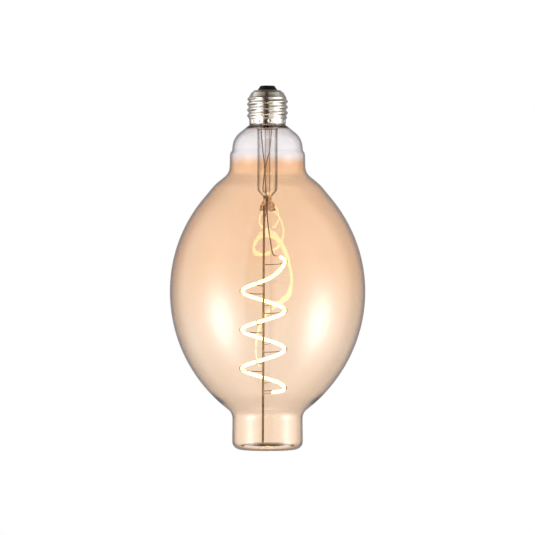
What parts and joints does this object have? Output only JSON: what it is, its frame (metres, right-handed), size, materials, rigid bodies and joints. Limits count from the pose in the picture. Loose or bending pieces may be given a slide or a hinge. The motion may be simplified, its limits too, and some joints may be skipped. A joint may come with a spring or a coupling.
{
  "type": "smart filament light bulb",
  "caption": "Large oval filament light bulb with a tinted glass envelope, a screw cap, a glass stem and a coiled LED filament hung from a rod by hooked wires.",
  "frame": {"origin": "centre of the outer face of the centre contact on the screw cap", "axes": "+Z out of the cap along the lamp's axis, so the glass hangs below the origin; +X to the right with the camera looking along +Y"},
  "size_m": [0.125, 0.125, 0.2325],
  "materials": {
    "nickel_plate": "bright nickel plate on rolled sheet",
    "black_vitrite": "glossy black insulator",
    "contact_solder": "dull tin solder",
    "cap_cement": "matt cement",
    "board_green": "green solder mask",
    "can_black": "black sleeve",
    "ferrite": "matt ferrite",
    "chip_black": "moulded epoxy",
    "shield_tin": "tinned steel can",
    "fuse_blue": "lacquered resistor body",
    "tinned_copper": "tinned copper wire",
    "amber_glass": "clear glass with a thin amber coating below the collar",
    "clear_glass": "clear fire-polished glass",
    "nickel_wire": "drawn nickel-iron wire, seen brown through the coating",
    "phosphor": "yellow phosphor in silicone, lit",
    "copper": "bare copper"
  },
  "bodies": {
    "root": {"base_cement": "cap_cement", "bottom_electrode": "copper", "bridge_rectifier": "chip_black", "cap_insulator": "black_vitrite", "centre_contact": "contact_solder", "driver_board": "board_green", "driver_chip": "chip_black", "driver_inductor": "ferrite", "exhaust_tube": "clear_glass", "fuse_resistor": "fuse_blue", "glass_envelope": "amber_glass", "hook_wire_01": "nickel_wire", "hook_wire_02": "nickel_wire", "hook_wire_03": "nickel_wire", "hook_wire_04": "nickel_wire", "hook_wire_05": "nickel_wire", "hook_wire_06": "nickel_wire", "hook_wire_07": "nickel_wire", "hook_wire_08": "nickel_wire", "hook_wire_09": "nickel_wire", "hook_wire_10": "nickel_wire", "hook_wire_11": "nickel_wire", "hook_wire_12": "nickel_wire", "hook_wire_13": "nickel_wire", "lead_wire_return": "nickel_wire", "lead_wire_top": "nickel_wire", "led_filament": "phosphor", "live_wire": "tinned_copper", "neutral_wire": "tinned_copper", "press_stub_wire": "nickel_wire", "radio_board": "board_green", "radio_shield": "shield_tin", "screw_shell": "nickel_plate", "smoothing_capacitor": "can_black", "stem_flare_tube": "clear_glass", "stem_press": "clear_glass", "support_rod": "nickel_wire", "top_electrode": "copper"}
  },
  "joints": []
}
